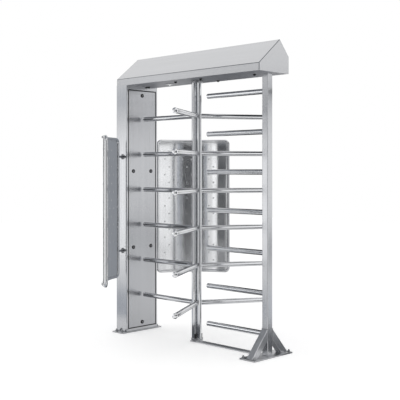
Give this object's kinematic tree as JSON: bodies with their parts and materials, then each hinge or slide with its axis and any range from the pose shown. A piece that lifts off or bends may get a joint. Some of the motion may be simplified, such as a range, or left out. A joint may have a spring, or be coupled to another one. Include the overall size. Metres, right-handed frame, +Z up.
{
  "type": "full height turnstile",
  "caption": "Full height turnstile: a three wing rotor turns between a box column with curved guards and a comb of fixed bars, under a pitched head.",
  "frame": {"origin": "rotor axis at floor level, which is also the middle of the base", "axes": "+Z up along the rotor axis, +X from the box column towards the comb post, +Y through the passage away from the picture's side"},
  "size_m": [1.6, 1.4114, 2.35],
  "materials": {
    "brushed_shell": "vertical satin grain",
    "brushed_panel": "vertical satin grain",
    "polished_tube": "bright polished tube",
    "cap_steel": "bright turned cap",
    "guard_sheet": "bright polished sheet",
    "roof_steel": "fine satin sheet",
    "soffit": "satin dark blue grey",
    "plate_steel": "satin plate",
    "zinc": "zinc plated",
    "black_steel": "black oxide",
    "lock_rim": "satin black",
    "bearing_steel": "ground",
    "housing_cast": "machined",
    "damper_black": "satin black",
    "belt": "matt",
    "box_grey": "satin",
    "lamp": "opal diffuser"
  },
  "bodies": {
    "frame": {"column_shell": "brushed_shell", "column_base_plate": "plate_steel", "control_box": "box_grey", "post_tube": "brushed_shell", "post_base_plate": "plate_steel", "strut_front": "brushed_shell", "strut_back": "brushed_shell", "floor_bar": "plate_steel", "comb_bar_1": "polished_tube", "comb_bar_2": "polished_tube", "comb_bar_3": "polished_tube", "comb_bar_4": "polished_tube", "comb_bar_5": "polished_tube", "comb_bar_6": "polished_tube", "comb_bar_7": "polished_tube", "guard_front_frame": "polished_tube", "guard_front_sheet": "guard_sheet", "guard_back_frame": "polished_tube", "guard_back_sheet": "guard_sheet", "guard_standoffs": "polished_tube", "roof_cover": "roof_steel", "soffit_panel": "soffit", "soffit_screws": "black_steel", "downlight": "lamp", "head_rails": "zinc", "head_cross_members": "zinc", "drive_plate": "zinc", "bearing_housing": "housing_cast", "top_bearing": "bearing_steel", "floor_pivot": "bearing_steel", "pawl_pins": "bearing_steel", "solenoid_right": "damper_black", "solenoid_left": "damper_black", "damper_body": "damper_black", "damper_belt": "belt"},
    "rotor": {"mast_tubes": "polished_tube", "mast_foot_plate": "plate_steel", "mast_head_plate": "plate_steel", "rotor_shaft": "bearing_steel", "wing_left_arms": "polished_tube", "wing_front_arms": "polished_tube", "wing_back_arms": "polished_tube", "arm_caps": "cap_steel", "index_wheel": "zinc", "drive_pulley": "housing_cast"},
    "panel": {"service_panel": "brushed_panel", "lock_housings": "lock_rim"},
    "pawl_right": {"pawl_right": "zinc"},
    "pawl_left": {"pawl_left": "zinc"},
    "plunger_right": {"plunger_right": "bearing_steel"},
    "plunger_left": {"plunger_left": "bearing_steel"},
    "damper": {"damper_pulley": "housing_cast"},
    "lock_top": {"lock_top": "black_steel"},
    "lock_upper_front": {"lock_upper_front": "black_steel"},
    "lock_upper_back": {"lock_upper_back": "black_steel"},
    "lock_lower_front": {"lock_lower_front": "black_steel"},
    "lock_lower_back": {"lock_lower_back": "black_steel"},
    "lock_bottom": {"lock_bottom": "black_steel"}
  },
  "joints": [
    {"name": "rotor_spin", "type": "hinge", "parent": "frame", "child": "rotor", "pos_m": [0, 0, 1], "axis": [0, 0, 1], "continuous": true},
    {"name": "damper_spin", "type": "hinge", "parent": "frame", "child": "damper", "pos_m": [0.27, 0, 2.23], "axis": [0, 0, 1], "continuous": true},
    {"name": "pawl_right_swing", "type": "hinge", "parent": "frame", "child": "pawl_right", "pos_m": [0.114, 0.08, 2.19], "axis": [0, 0, 1], "range_deg": [-12, 0], "stiffness_Nm_per_rad": 0.3},
    {"name": "pawl_left_swing", "type": "hinge", "parent": "frame", "child": "pawl_left", "pos_m": [-0.114, -0.08, 2.19], "axis": [0, 0, 1], "range_deg": [-12, 0], "stiffness_Nm_per_rad": 0.3},
    {"name": "plunger_right_slide", "type": "slide", "parent": "frame", "child": "plunger_right", "axis": [1, 0, 0], "range_m": [-0.0126, 0]},
    {"name": "plunger_left_slide", "type": "slide", "parent": "frame", "child": "plunger_left", "axis": [-1, 0, 0], "range_m": [-0.0126, 0]},
    {"name": "panel_lift_off", "type": "slide", "parent": "frame", "child": "panel", "axis": [1, 0, 0], "range_m": [0, 0.015]},
    {"name": "lock_top_turn", "type": "hinge", "parent": "panel", "child": "lock_top", "pos_m": [-0.665, 0, 2.0205], "axis": [1, 0, 0], "range_deg": [0, 90]},
    {"name": "lock_upper_front_turn", "type": "hinge", "parent": "panel", "child": "lock_upper_front", "pos_m": [-0.665, -0.099, 1.372], "axis": [1, 0, 0], "range_deg": [-90, 0]},
    {"name": "lock_upper_back_turn", "type": "hinge", "parent": "panel", "child": "lock_upper_back", "pos_m": [-0.665, 0.099, 1.372], "axis": [1, 0, 0], "range_deg": [0, 90]},
    {"name": "lock_lower_front_turn", "type": "hinge", "parent": "panel", "child": "lock_lower_front", "pos_m": [-0.665, -0.099, 0.7235], "axis": [1, 0, 0], "range_deg": [-90, 0]},
    {"name": "lock_lower_back_turn", "type": "hinge", "parent": "panel", "child": "lock_lower_back", "pos_m": [-0.665, 0.099, 0.7235], "axis": [1, 0, 0], "range_deg": [0, 90]},
    {"name": "lock_bottom_turn", "type": "hinge", "parent": "panel", "child": "lock_bottom", "pos_m": [-0.665, 0, 0.075], "axis": [1, 0, 0], "range_deg": [-90, 0]}
  ],
  "couplings": [
    {"joint": "damper_spin", "follows": "rotor_spin", "ratio": 2},
    {"joint": "plunger_right_slide", "follows": "pawl_right_swing", "m_per_rad": 0.0592},
    {"joint": "plunger_left_slide", "follows": "pawl_left_swing", "m_per_rad": 0.0592}
  ]
}
